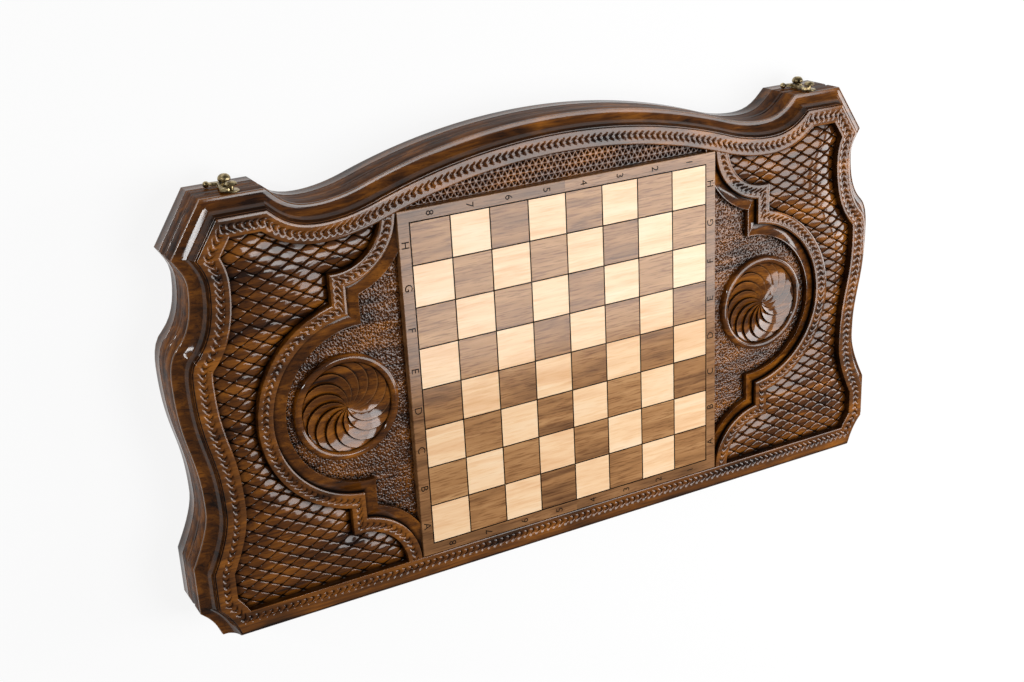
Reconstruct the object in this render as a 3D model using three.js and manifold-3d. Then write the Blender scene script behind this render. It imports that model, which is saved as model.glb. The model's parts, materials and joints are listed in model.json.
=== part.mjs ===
// A folding backgammon board: two shallow wooden trays, hinged along one long edge and closed
// face to face, with a carved border, two rosettes and a chessboard on the outside of the lid.
// Millimetres, +Z up. The closed case lies on the base tray, hinges towards -Y, clasps towards +Y.

import * as THREE from "three";
import { mergeVertices } from "three/addons/utils/BufferGeometryUtils.js";
import Module from "manifold-3d";

const wasm = await Module();
wasm.setup();

// Chessboard panel
const square = 31;
const panelBorder = 9;

// Carved outline of the outer face, from the hinge edge up one side to the crown of the arch
const wingReach = 156.2;
const footIn = 14.2;
const footCoveHeight = 26;
const lugTop = 54;
const waistIn = 13.9;
const waistHeight = 98;
const bulgeIn = 3.4;
const bulgeDrop = 92;
const shoulderIn = 7.1;
const shoulderDrop = 75;
const scallopIn = 22.6;
const scallopDrop = 27.6;
const tipIn = 16.1;
const tipDrop = 7.5;
const cornerIn = 32.2;
const cornerRise = 17.8;
const flatLength = 34;
const valleyRun = 37;
const valleyRise = 2.4;
const archRise = 34;
const archRadius = 450;
const archReach = 12.7;

// Edges of the face boards: moulded on the lid, plain and rounded on the base
const mouldOut = 11.4;
const boardThick = 13.6;
const stepOut = 1;
const stepDrop = 1.2;
const filletOut = 0.9;
const bandLand = 1.2;
const edgeRound = 2.5;
const footRound = 5;

// Carved relief of the outer faces
const borderBand = 13.3;
const footBand = 19;
const wingDepth = 4.5;
const cartoucheBand = 10.9;
const coveBand = 9.3;
const coveDepth = 2.2;
const groundDepth = 5.5;
const cartoucheReach = 34.4;
const cartoucheRadius = 79;
const notchReach = 52.5;
const lobeReach = 48.4;
const lobeRise = 134.9;
const lobeRadius = 36.3;
const rosetteReach = 47.7;
const rosetteRadius = 39.4;
const rosetteDish = 33;
const rimHeight = 4.7;
const dishHeight = 2.1;
const whirlHeight = 3.9;

// Trays
const railHeight = 13;
const footRail = 15;
const sideRail = 15;
const topRail = 12.8;
const fieldThick = 2.5;
const pointsPerSide = 6;
const pointGap = 2;
const pointLength = 200;
const inlayThick = 1;

// Hinges
const hingeSpread = 170;
const leafLength = 60;
const leafWidth = 12.5;
const leafThick = 1.2;
const barrelRadius = 2.4;
const pinRadius = 1.2;
const barrelOut = 0.6;
const screwEnd = 9;
const screwInset = 7.6;
const screwHead = 2.6;
const screwShank = 1.3;
const screwHeadDepth = 0.9;
const screwLength = 8;

// Clasps
const claspIn = 18.3;
const postDrop = 7;
const studRise = 7;
const postFlange = 5.5;
const postShank = 1.8;
const postHead = 4.4;
const postHeight = 8.8;
const studFlange = 5.2;
const studNeck = 1.5;
const studHead = 4;
const studHeight = 6.8;
const flangeThick = 1;
const pegDepth = 9;
const hookThick = 2;
const hookEye = 3.9;
const hookArm = 3;
const hookFinger = 2.8;
const hookLap = 1.4;
const hookPlay = 0.4;
const tabLength = 12;
const tabWidth = 4.4;
const tabBall = 2.3;
const hookClearAngle = 12;

// Clearances
const glueLine = 0.05;
const fit = 0.3;
const seamGap = 0.3;
const headGap = 0.5;

// Levels and places that follow from the sizes above
const panelHalf = 4 * square + panelBorder;
const panelMiddle = footBand + fit + panelHalf;
const panelTop = panelMiddle + panelHalf;
const lugHalf = panelHalf + wingReach;
const cornerHalf = lugHalf - cornerIn;
const cornerTop = panelTop + cornerRise;
const archTop = panelTop + archRise;
const halfThick = boardThick + railHeight;
const caseThick = 2 * halfThick + seamGap;
const seamLevel = caseThick / 2;
const trayHalf = lugHalf - scallopIn + mouldOut - sideRail;
const trayTop = panelTop + valleyRise + mouldOut - topRail;
const edgeTop = cornerTop + mouldOut;
const claspX = cornerHalf - claspIn;
const claspFace = edgeTop + glueLine;
const hookLow = claspFace + flangeThick + fit;
const barrelSpan = leafLength / 3;
const screwSpread = leafLength / 2 - screwEnd;

const wood = new THREE.MeshStandardMaterial({ color: 0x4a2412, roughness: 0.32, metalness: 0 });
const innerWood = new THREE.MeshStandardMaterial({ color: 0x6b3c1c, roughness: 0.4, metalness: 0 });
const panelWood = new THREE.MeshStandardMaterial({ color: 0x9a7452, roughness: 0.45, metalness: 0 });
const fieldWood = new THREE.MeshStandardMaterial({ color: 0x8a5a30, roughness: 0.45, metalness: 0 });
const darkInlay = new THREE.MeshStandardMaterial({ color: 0x2c170c, roughness: 0.4, metalness: 0 });
const paleInlay = new THREE.MeshStandardMaterial({ color: 0xd9b98c, roughness: 0.45, metalness: 0 });
const brass = new THREE.MeshStandardMaterial({ color: 0x9c7a3c, roughness: 0.35, metalness: 1 });

const arcSteps = 16;
const xy = (x, y) => new THREE.Vector2(x, y);

// Solids and booleans

function solid(geometry) {
  const bare = geometry.clone();
  bare.deleteAttribute("normal");
  bare.deleteAttribute("uv");
  const merged = mergeVertices(bare, 1e-4);
  const vertProperties = new Float32Array(merged.attributes.position.array);
  const triVerts = new Uint32Array(merged.index.array);
  return new wasm.Manifold(new wasm.Mesh({ numProp: 3, vertProperties, triVerts }));
}

function geometryOf(manifold) {
  const mesh = manifold.getMesh();
  const geometry = new THREE.BufferGeometry();
  geometry.setAttribute("position", new THREE.BufferAttribute(mesh.vertProperties, 3));
  geometry.setIndex(new THREE.BufferAttribute(mesh.triVerts, 1));
  geometry.computeVertexNormals();
  return geometry;
}

function prism(points, low, high) {
  const shape = new THREE.Shape(points);
  const geometry = new THREE.ExtrudeGeometry(shape, { depth: high - low, bevelEnabled: false });
  return solid(geometry.translate(0, 0, low));
}

function block(x0, x1, y0, y1, z0, z1) {
  const box = new THREE.BoxGeometry(x1 - x0, y1 - y0, z1 - z0);
  return solid(box.translate((x0 + x1) / 2, (y0 + y1) / 2, (z0 + z1) / 2));
}

function turned(profile, segments = arcSteps) {
  return new THREE.LatheGeometry(profile.map(([r, h]) => xy(r, h)), segments);
}

function rod(radius, x0, x1, y, z) {
  const bar = turned([[0, x0], [radius, x0], [radius, x1], [0, x1]]);
  return solid(bar.rotateZ(-Math.PI / 2).translate(0, y, z));
}

const join = (first, ...others) => others.reduce((sum, next) => sum.add(next), first);

// The carved outline: the right-hand edge as curves, mirrored for the left

function rightEdge() {
  const footHalf = lugHalf - footIn;
  const waistHalf = lugHalf - waistIn;
  const bulge = xy(lugHalf - bulgeIn, panelTop - bulgeDrop);
  const shoulder = xy(lugHalf - shoulderIn, panelTop - shoulderDrop);
  const scallop = xy(lugHalf - scallopIn, panelTop - scallopDrop);
  const tip = xy(lugHalf - tipIn, panelTop - tipDrop);
  const corner = xy(cornerHalf, cornerTop);
  const flatEnd = xy(cornerHalf - flatLength, cornerTop);
  const valley = xy(flatEnd.x - valleyRun, panelTop + valleyRise);
  const archHalf = panelHalf + archReach;
  const archCentre = archTop - archRadius;
  const archAngle = Math.asin(archHalf / archRadius);
  const archEnd = xy(archHalf, archCentre + archRadius * Math.cos(archAngle));
  const archRun = (valley.x - archEnd.x) / 3;
  const waistRun = (panelTop - bulgeDrop - waistHeight) / 2;
  const curves = [
    [new THREE.QuadraticBezierCurve(xy(footHalf, 0), xy(footHalf + footIn / 3, footCoveHeight * 0.65),
      xy(lugHalf, footCoveHeight)), 4],
    [new THREE.LineCurve(xy(lugHalf, footCoveHeight), xy(lugHalf, lugTop)), 1],
    [new THREE.CubicBezierCurve(xy(lugHalf, lugTop), xy(lugHalf - waistIn / 2, lugTop + waistIn),
      xy(waistHalf, waistHeight - waistIn), xy(waistHalf, waistHeight)), 7],
    [new THREE.CubicBezierCurve(xy(waistHalf, waistHeight), xy(waistHalf, waistHeight + waistRun),
      xy(bulge.x, bulge.y - waistRun), bulge), 6],
    [new THREE.QuadraticBezierCurve(bulge, xy(bulge.x, shoulder.y - shoulderIn / 2), shoulder), 3],
    [new THREE.CubicBezierCurve(shoulder, xy(shoulder.x - shoulderIn, shoulder.y + shoulderIn),
      xy(scallop.x, scallop.y - scallopDrop), scallop), 6],
    [new THREE.QuadraticBezierCurve(scallop, xy(scallop.x, (scallop.y + tip.y) / 2), tip), 4],
    [new THREE.LineCurve(tip, corner), 1],
    [new THREE.LineCurve(corner, flatEnd), 1],
    [new THREE.CubicBezierCurve(flatEnd, xy(flatEnd.x - valleyRun / 4, flatEnd.y - valleyRun / 4),
      xy(valley.x + valleyRun / 2, valley.y), valley), 6],
    [new THREE.CubicBezierCurve(valley, xy(valley.x - archRun, valley.y),
      xy(archEnd.x + archRun, archEnd.y - archRun * Math.tan(archAngle)), archEnd), 5],
    [new THREE.EllipseCurve(0, archCentre, archRadius, archRadius,
      Math.PI / 2 - archAngle, Math.PI / 2), 8],
  ];
  const points = [curves[0][0].getPoint(0)];
  for (const [curve, steps] of curves) {
    points.push(...curve.getPoints(steps).slice(1));
  }
  return points;
}

const faceEdge = (() => {
  const right = rightEdge();
  const left = right.slice(0, -1).reverse().map((p) => xy(-p.x, p.y));
  return [...right, ...left];
})();

// The outline moved outward by a distance, with its two ends on the line y = foot
function outline(out, foot = 0) {
  const last = faceEdge.length - 1;
  const heading = faceEdge.slice(1).map((p, i) => p.clone().sub(faceEdge[i]).normalize());
  const normals = heading.map((d) => xy(d.y, -d.x));
  return faceEdge.map((p, i) => {
    if (i > 0 && i < last) {
      const mitre = normals[i - 1].clone().add(normals[i]);
      return p.clone().addScaledVector(mitre, out / (1 + normals[i - 1].dot(normals[i])));
    }
    const side = i === 0 ? 0 : last - 1;
    const moved = p.clone().addScaledVector(normals[side], out);
    return moved.addScaledVector(heading[side], (foot - moved.y) / heading[side].y);
  });
}

// The part of a closed outline where coordinate key is above (or below) a limit
function clip(points, key, limit, above) {
  const inside = (p) => (above ? p[key] >= limit : p[key] <= limit);
  const kept = [];
  points.forEach((p, i) => {
    const q = points[(i + 1) % points.length];
    if (inside(p)) {
      kept.push(p.clone());
    }
    if (inside(p) !== inside(q)) {
      kept.push(p.clone().lerp(q, (limit - p[key]) / (q[key] - p[key])));
    }
  });
  return kept;
}

// Face boards: an edge lofted through offset outlines, then the carved recesses

function mouldingProfile() {
  const coveOut = mouldOut - stepOut - filletOut;
  const coveDrop = boardThick - stepDrop - bandLand;
  const coveSteps = 5;
  const profile = [[0, 0], [0, stepDrop], [stepOut, stepDrop]];
  for (let i = 1; i <= coveSteps; i += 1) {
    const turn = (i / coveSteps) * (Math.PI / 2);
    profile.push([stepOut + coveOut * (1 - Math.cos(turn)), stepDrop + coveDrop * Math.sin(turn)]);
  }
  profile.push([mouldOut, boardThick - bandLand], [mouldOut, boardThick]);
  return profile;
}

function plainProfile() {
  const roundSteps = 3;
  const profile = [];
  for (let i = 0; i <= roundSteps; i += 1) {
    const turn = (i / roundSteps) * (Math.PI / 2);
    profile.push([mouldOut - edgeRound * (1 - Math.sin(turn)), edgeRound * (1 - Math.cos(turn))]);
  }
  profile.push([mouldOut, boardThick]);
  return profile;
}

function footLine(depth) {
  const left = Math.max(0, 1 - depth / footRound);
  return footRound * (1 - Math.sqrt(1 - left * left));
}

function loft(rings) {
  const count = rings[0].points.length;
  const corners = rings.flatMap((ring) => ring.points.flatMap((p) => [p.x, p.y, ring.level]));
  const faces = [];
  for (let r = 0; r + 1 < rings.length; r += 1) {
    for (let i = 0; i < count; i += 1) {
      const a = r * count + i;
      const b = r * count + (i + 1) % count;
      faces.push(a, b, b + count, a, b + count, a + count);
    }
  }
  const lastStart = (rings.length - 1) * count;
  for (const [a, b, c] of THREE.ShapeUtils.triangulateShape(rings[0].points, [])) {
    faces.push(a, c, b);
  }
  for (const [a, b, c] of THREE.ShapeUtils.triangulateShape(rings.at(-1).points, [])) {
    faces.push(lastStart + a, lastStart + b, lastStart + c);
  }
  const geometry = new THREE.BufferGeometry();
  geometry.setAttribute("position", new THREE.Float32BufferAttribute(corners, 3));
  geometry.setIndex(faces);
  return solid(geometry);
}

// Everything between the two cartouche curves, drawn in by inset from the curve's wing side
function centreField(inset) {
  const lobe = lobeRadius + inset;
  const big = cartoucheRadius - inset;
  const lobeX = panelHalf + lobeReach;
  const bigX = panelHalf + cartoucheReach;
  const notchX = panelHalf + notchReach - inset;
  const lobeEnd = 2 * Math.PI - Math.acos((notchX - lobeX) / lobe);
  const bigStart = Math.acos((notchX - bigX) / big);
  const upper = [xy(lobeX - lobe, 2 * lobeRise)];
  const arcs = [
    new THREE.EllipseCurve(lobeX, lobeRise, lobe, lobe, Math.PI, lobeEnd),
    new THREE.EllipseCurve(bigX, 0, big, big, bigStart, 0, true),
  ];
  for (const arc of arcs) {
    upper.push(...arc.getPoints(arcSteps / 2));
  }
  const lower = upper.slice(0, -1).reverse().map((p) => xy(p.x, -p.y));
  const right = [...upper, ...lower];
  const left = right.slice().reverse().map((p) => xy(-p.x, p.y));
  return [...right, ...left].reverse().map((p) => xy(p.x, p.y + panelMiddle));
}

function rosette(side) {
  const rim = rosetteRadius - rosetteDish;
  const profile = [
    [0, -glueLine * 10],
    [rosetteRadius, -glueLine * 10],
    [rosetteRadius, rimHeight / 2],
    [rosetteRadius - rim * 0.3, rimHeight],
    [rosetteRadius - rim * 0.7, rimHeight],
    [rosetteDish, dishHeight],
    [rosetteDish / 2, (dishHeight + whirlHeight) / 2],
    [0, whirlHeight],
  ];
  const disc = turned(profile, 2 * arcSteps).rotateX(-Math.PI / 2);
  return solid(disc.translate(side * (panelHalf + rosetteReach), panelMiddle, groundDepth));
}

function faceBoard(profile) {
  const board = loft(profile.map(([out, depth]) => (
    { points: outline(out, footLine(depth)), level: depth })));
  const above = -footRound;
  const inside = clip(outline(-borderBand), "y", footBand, true);
  const wings = prism(inside, above, wingDepth).subtract(prism(centreField(0), 2 * above, groundDepth));
  const coveEdge = centreField(cartoucheBand);
  const groundEdge = centreField(cartoucheBand + coveBand);
  const cove = prism(inside, above, coveDepth).intersect(prism(coveEdge, 2 * above, groundDepth));
  const ground = prism(inside, above, groundDepth).intersect(prism(groundEdge, 2 * above, caseThick));
  const pocket = block(-panelHalf - fit, panelHalf + fit, footBand, panelTop + fit, above, groundDepth);
  const carved = board.subtract(wings).subtract(cove).subtract(ground).subtract(pocket);
  return join(carved, rosette(-1), rosette(1));
}

const centrePanel = () => block(-panelHalf, panelHalf, panelMiddle - panelHalf, panelTop,
  0, groundDepth - glueLine);

// Trays: four rails round a playing field, on the inside of each face board

function rails() {
  const full = outline(mouldOut);
  const low = boardThick + glueLine;
  const between = clip(clip(full, "y", footRail + glueLine, true), "y", trayTop - glueLine, false);
  return {
    hinge_rail: prism(clip(full, "y", footRail, false), low, halfThick),
    clasp_rail: prism(clip(full, "y", trayTop, true), low, halfThick),
    left_rail: prism(clip(between, "x", -trayHalf, false), low, halfThick),
    right_rail: prism(clip(between, "x", trayHalf, true), low, halfThick),
  };
}

// One point of the playing field, widened by a clearance; side is its short end of the tray
function point(side, index, clearance) {
  const pitch = (trayTop - footRail - 2 * fit) / pointsPerSide;
  const middle = footRail + fit + pitch * (index + 0.5);
  const half = (pitch - pointGap) / 2 + clearance - fit;
  const base = side * (trayHalf - pointGap + clearance);
  const tip = side * (trayHalf - pointGap - pointLength - clearance);
  const corners = [xy(base, middle - half), xy(base, middle + half), xy(tip, middle)];
  const top = boardThick + 2 * glueLine + fieldThick;
  return prism(corners, top - inlayThick - Math.min(clearance, glueLine), top + (clearance && fit));
}

function field() {
  const low = boardThick + 2 * glueLine;
  let panel = block(-trayHalf + fit, trayHalf - fit, footRail + fit, trayTop - fit, low, low + fieldThick);
  for (let index = 0; index < pointsPerSide; index += 1) {
    panel = panel.subtract(point(-1, index, fit)).subtract(point(1, index, fit));
  }
  return panel;
}

// Hinges: two leaves let into the hinge rails, turning on a pin just outside the hinge edge

function screwProfile(clearance, length) {
  const head = screwHead + clearance;
  const shank = screwShank + clearance;
  return [[0, -length], [shank, -length], [shank, -screwHeadDepth - clearance], [head, 0],
    [head, clearance], [0, clearance]];
}

function screw(x, clearance) {
  const body = turned(screwProfile(clearance, screwLength + clearance), 12).rotateX(Math.PI / 2);
  return solid(body.translate(x, screwInset, halfThick));
}

function barrelRelief(x0, x1) {
  return rod(barrelRadius + fit, x0 - fit, x1 + fit, -barrelOut, seamLevel);
}

// A leaf with its share of the barrel: the base leaf has the outer knuckles, the lid leaf the middle one
function leaf(middle, knuckles) {
  const half = leafLength / 2;
  const low = halfThick - leafThick;
  const clearOfBarrel = barrelRadius + fit - barrelOut;
  let plate = block(middle - half, middle + half, clearOfBarrel, leafWidth, low, halfThick);
  for (const [from, to] of knuckles) {
    plate = join(plate, block(from, to, -barrelOut, clearOfBarrel + fit, low, halfThick),
      rod(barrelRadius, from, to, -barrelOut, seamLevel));
  }
  const bore = rod(pinRadius + fit, middle - half - fit, middle + half + fit, -barrelOut, seamLevel);
  return plate.subtract(bore).subtract(screw(middle - screwSpread, fit)).subtract(screw(middle + screwSpread, fit));
}

function leafMortise(middle) {
  const half = leafLength / 2 + fit;
  const low = halfThick - leafThick - glueLine;
  return join(block(middle - half, middle + half, -leafWidth, leafWidth + fit, low, halfThick + fit),
    barrelRelief(middle - half, middle + half));
}

function hingedRail(rail) {
  let cut = rail;
  for (const middle of [-hingeSpread, hingeSpread]) {
    cut = cut.subtract(leafMortise(middle));
    cut = cut.subtract(screw(middle - screwSpread, fit)).subtract(screw(middle + screwSpread, fit));
  }
  return cut;
}

// Clasps: a hook on a riveted post on the base, and a headed stud for it on the lid

const peg = (shank) => [[0, -pegDepth], [shank, -pegDepth], [shank, 0]];

function claspPost() {
  const under = hookLow - claspFace + hookThick + headGap;
  const crown = postHeight - under;
  return turned([...peg(postShank), [postFlange, 0], [postFlange, flangeThick], [postShank, flangeThick],
    [postShank, under], [postHead, under], [postHead, under + crown * 0.35],
    [postHead * 0.7, under + crown * 0.8], [0, postHeight]]);
}

function claspStud() {
  const under = hookLow - claspFace + hookThick + headGap;
  const crown = studHeight - under;
  return turned([...peg(studNeck), [studFlange, 0], [studFlange, flangeThick], [studNeck, flangeThick],
    [studNeck, under], [studHead, under], [studHead, under + crown * 0.4], [0, studHeight]]);
}

function pegHole(shank, x) {
  const depth = pegDepth + fit;
  const hole = turned([[0, -depth], [shank + fit, -depth], [shank + fit, fit], [0, fit]]);
  return { at: (z) => solid(hole.clone().translate(x, claspFace, z)) };
}

// The hook drawn in the plane of the clasp edge, hooked over the stud, its eye at the origin
function hookOutline() {
  const throat = studNeck + hookPlay;
  const reach = 2 * seamLevel - 2 * halfThick + postDrop + studRise;
  const top = reach + throat + hookFinger;
  const disc = (x, y, radius, stretch) => new THREE.EllipseCurve(x, y, radius * stretch, radius,
    0, 2 * Math.PI).getPoints(arcSteps).slice(1);
  const eye = prism(disc(0, 0, hookEye, 1), 0, hookThick);
  const arm = block(-throat - hookArm, -throat, -hookArm / 2, top, 0, hookThick);
  const finger = block(-throat - hookArm, hookLap, reach + throat, top, 0, hookThick);
  const tab = prism(disc(-tabLength / 2, -hookArm / 2, tabWidth / 2, tabLength / tabWidth), 0, hookThick);
  const ball = new THREE.SphereGeometry(tabBall, 12, 8).translate(-tabLength, -hookArm / 2, hookThick / 2);
  const hole = prism(disc(0, 0, postShank + fit, 1), -fit, hookThick + fit);
  return join(eye, arm, finger, tab, solid(ball)).subtract(hole);
}

function hook() {
  const clear = THREE.MathUtils.degToRad(hookClearAngle);
  return geometryOf(hookOutline()).rotateZ(clear).rotateX(Math.PI / 2).translate(0, hookThick, 0);
}

// Assembly

const board = new THREE.Group();
const hingeSide = barrelOut + barrelRadius;
board.position.y = (hingeSide - archTop - mouldOut) / 2;

function place(name, geometry, material) {
  const mesh = new THREE.Mesh(geometry, material);
  mesh.name = name;
  board.add(mesh);
  return mesh;
}

// The lid is the base turned over the seam
function inLid(geometry) {
  const turnedOver = geometry.clone().scale(1, 1, -1).translate(0, 0, caseThick);
  const index = turnedOver.index.array;
  for (let i = 0; i < index.length; i += 3) {
    [index[i + 1], index[i + 2]] = [index[i + 2], index[i + 1]];
  }
  turnedOver.computeVertexNormals();
  return turnedOver;
}

const railSolids = rails();
const fieldSolid = field();
const hingeEnds = (middle) => [middle - leafLength / 2, middle + leafLength / 2];
const halves = [
  { name: "base", put: (geometry) => geometry, edge: plainProfile(),
    pegShank: postShank, pegLevel: halfThick - postDrop },
  { name: "lid", put: inLid, edge: mouldingProfile(),
    pegShank: studNeck, pegLevel: halfThick - studRise },
];

for (const { name, put, edge, pegShank, pegLevel } of halves) {
  const add = (piece, manifold, material) => place(`${name}_${piece}`, put(geometryOf(manifold)), material);
  let claspRail = railSolids.clasp_rail;
  for (const side of [-1, 1]) {
    claspRail = claspRail.subtract(pegHole(pegShank, side * claspX).at(pegLevel));
  }
  add("face_board", faceBoard(edge), wood);
  add(name === "lid" ? "chess_panel" : "centre_panel", centrePanel(), panelWood);
  add("hinge_rail", hingedRail(railSolids.hinge_rail), innerWood);
  add("clasp_rail", claspRail, innerWood);
  add("left_rail", railSolids.left_rail, innerWood);
  add("right_rail", railSolids.right_rail, innerWood);
  add("field", fieldSolid, fieldWood);
  for (const [side, end] of [[-1, "left"], [1, "right"]]) {
    for (let index = 0; index < pointsPerSide; index += 1) {
      const pale = (index % 2 === 0) === (side < 0);
      add(`point_${end}_${index + 1}`, point(side, index, 0), pale ? paleInlay : darkInlay);
    }
    const [from, to] = hingeEnds(side * hingeSpread);
    const inner = [from + barrelSpan + fit / 2, to - barrelSpan - fit / 2];
    const outer = [[from, inner[0] - fit], [inner[1] + fit, to]];
    add(`hinge_leaf_${end}`, leaf(side * hingeSpread, name === "lid" ? [inner] : outer), brass);
    add(`screw_${end}_1`, screw(side * hingeSpread - screwSpread, 0), brass);
    add(`screw_${end}_2`, screw(side * hingeSpread + screwSpread, 0), brass);
  }
}

for (const [side, end] of [[-1, "left"], [1, "right"]]) {
  const [from, to] = hingeEnds(side * hingeSpread);
  place(`hinge_pin_${end}`, geometryOf(rod(pinRadius, from, to, -barrelOut, seamLevel)), brass);
  const post = place(`clasp_post_${end}`, claspPost(), brass);
  post.position.set(side * claspX, claspFace, halfThick - postDrop);
  const stud = place(`clasp_stud_${end}`, claspStud(), brass);
  stud.position.set(side * claspX, claspFace, caseThick - halfThick + studRise);
  const lever = place(`clasp_hook_${end}`, hook(), brass);
  lever.position.set(side * claspX, hookLow, halfThick - postDrop);
}

export default board;
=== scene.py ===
import json
import math

import bmesh
import bpy
from mathutils import Matrix, Vector, geometry, kdtree, noise


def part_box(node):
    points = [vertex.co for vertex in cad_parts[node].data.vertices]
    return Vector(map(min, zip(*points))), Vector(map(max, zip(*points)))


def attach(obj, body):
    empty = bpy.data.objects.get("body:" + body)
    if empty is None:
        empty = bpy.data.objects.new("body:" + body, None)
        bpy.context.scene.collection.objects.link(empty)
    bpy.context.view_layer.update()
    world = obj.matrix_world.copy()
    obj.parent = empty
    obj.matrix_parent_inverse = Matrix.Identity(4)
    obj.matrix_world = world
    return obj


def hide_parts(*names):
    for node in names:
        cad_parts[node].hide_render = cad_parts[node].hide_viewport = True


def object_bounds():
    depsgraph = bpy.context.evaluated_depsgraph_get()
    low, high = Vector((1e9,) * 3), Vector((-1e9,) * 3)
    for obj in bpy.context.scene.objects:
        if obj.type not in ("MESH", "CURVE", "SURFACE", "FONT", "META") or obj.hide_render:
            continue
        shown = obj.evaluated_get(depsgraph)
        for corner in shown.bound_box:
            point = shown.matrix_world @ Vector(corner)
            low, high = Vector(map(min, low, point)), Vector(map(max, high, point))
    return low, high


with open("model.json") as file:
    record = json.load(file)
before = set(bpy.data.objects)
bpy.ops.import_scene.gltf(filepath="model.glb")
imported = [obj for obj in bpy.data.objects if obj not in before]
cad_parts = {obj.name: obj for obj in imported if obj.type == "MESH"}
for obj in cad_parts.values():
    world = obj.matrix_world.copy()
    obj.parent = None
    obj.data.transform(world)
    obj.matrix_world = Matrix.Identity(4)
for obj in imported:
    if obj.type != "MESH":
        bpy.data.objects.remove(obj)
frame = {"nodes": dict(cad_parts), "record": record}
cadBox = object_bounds()
print("frame loaded,", len(frame["nodes"]), "nodes")

# Carving is drawn in millimetres on the outer face: x along the board, y up from the hinge edge,
# z up out of the face. A placing matrix then turns it into metres on the lid or the base.
milli = 0.001
weld = 0.002
squareSize = 31.0
panelLow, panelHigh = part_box("lid_chess_panel")
boardLow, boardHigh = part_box("lid_face_board")
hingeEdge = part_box("lid_hinge_rail")[0].y
panelHalf = (panelHigh.x - panelLow.x) / 2 / milli
panelMiddle = ((panelHigh.y + panelLow.y) / 2 - hingeEdge) / milli
panelTop = panelMiddle + panelHalf
boardThick = (boardHigh.z - boardLow.z) / milli
panelFace = Vector((0, (panelLow.y + panelHigh.y) / 2, panelHigh.z))

edge = {
    "mould": 11.4, "footIn": 14.2, "footCove": 26, "lugTop": 54, "waistIn": 13.9, "waistAt": 98,
    "bulgeIn": 3.4, "bulgeDrop": 92, "shoulderIn": 7.1, "shoulderDrop": 75, "scallopIn": 22.6,
    "scallopDrop": 27.6, "tipIn": 16.1, "tipDrop": 7.5, "cornerIn": 32.2, "cornerRise": 17.8,
    "flat": 34, "valleyRun": 37, "valleyRise": 2.4, "archRadius": 450, "archReach": 12.7,
    "footRound": 5, "curveSteps": 24, "inside": 0.02,
}
lugHalf = boardHigh.x / milli - edge["mould"] - edge["inside"]
archTop = (boardHigh.y - hingeEdge) / milli - edge["mould"]

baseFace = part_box("base_face_board")[0].z
places = {
    "lid": Matrix.Translation((0, hingeEdge, boardHigh.z)) @ Matrix.Scale(milli, 4),
    "base": Matrix.Translation((0, hingeEdge, baseFace)) @ Matrix.Rotation(math.pi, 4, "Y")
    @ Matrix.Scale(milli, 4),
}


# Shader wiring: a Wire is one socket, and sums on it add Math nodes
class Wire:
    tree = None

    def __init__(self, socket):
        self.socket = socket

    @classmethod
    def node(cls, kind, settings=None, inputs=None, out=0):
        made = cls.tree.nodes.new(kind)
        for name, value in (settings or {}).items():
            if name == "stops":
                ramp = made.color_ramp.elements
                while len(ramp) < len(value):
                    ramp.new(0.5)
                for element, (at, colour) in zip(ramp, value):
                    element.position = at
                    element.color = (*colour, 1)
            else:
                setattr(made, name, value)
        for name, value in (inputs or {}).items():
            joinSocket(made.inputs[name], value)
        return cls(made.outputs[out])

    def sum(self, operation, *others):
        values = dict(enumerate((self, *others)))
        return Wire.node("ShaderNodeMath", {"operation": operation}, values)

    def __add__(self, other):
        return self.sum("ADD", other)

    __radd__ = __add__

    def __mul__(self, other):
        return self.sum("MULTIPLY", other)

    __rmul__ = __mul__

    def __sub__(self, other):
        return self.sum("SUBTRACT", other)

    def __rsub__(self, other):
        return Wire.node("ShaderNodeMath", {"operation": "SUBTRACT"}, {0: other, 1: self})


def joinSocket(socket, value):
    if isinstance(value, Wire):
        Wire.tree.links.new(value.socket, socket)
    else:
        socket.default_value = value


def mixColour(factor, first, second, blend="MIX"):
    full = [(*c, 1) if isinstance(c, tuple) else c for c in (first, second)]
    return Wire.node("ShaderNodeMix", {"data_type": "RGBA", "blend_type": blend},
                     {0: factor, 6: full[0], 7: full[1]}, 2)


def newMaterial(name):
    material = bpy.data.materials.new(name)
    material.use_nodes = True
    Wire.tree = material.node_tree
    return material, material.node_tree.nodes["Principled BSDF"]


def setShader(shader, values):
    for name, value in values.items():
        joinSocket(shader.inputs[name], value)


def objectPlace():
    return Wire.node("ShaderNodeTexCoord", out="Object")


def mapped(place, scale, shift=(0, 0, 0)):
    return Wire.node("ShaderNodeMapping", None, {"Vector": place, "Scale": scale, "Location": shift})


def grainCoords(scale):
    return mapped(objectPlace(), scale)


def noiseAt(coords, scale, detail=4, rough=0.55, twist=0.0):
    return Wire.node("ShaderNodeTexNoise", None, {
        "Vector": coords, "Scale": scale, "Detail": detail, "Roughness": rough, "Distortion": twist})


def ramp(value, *stops):
    return Wire.node("ShaderNodeValToRGB", {"stops": stops}, {"Fac": value})


def bump(height, strength, distance):
    return Wire.node("ShaderNodeBump", None, {
        "Height": height, "Strength": strength, "Distance": distance})


def reliefMask():
    return Wire.node("ShaderNodeAttribute", {"attribute_name": "relief"}, out="Fac")


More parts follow.
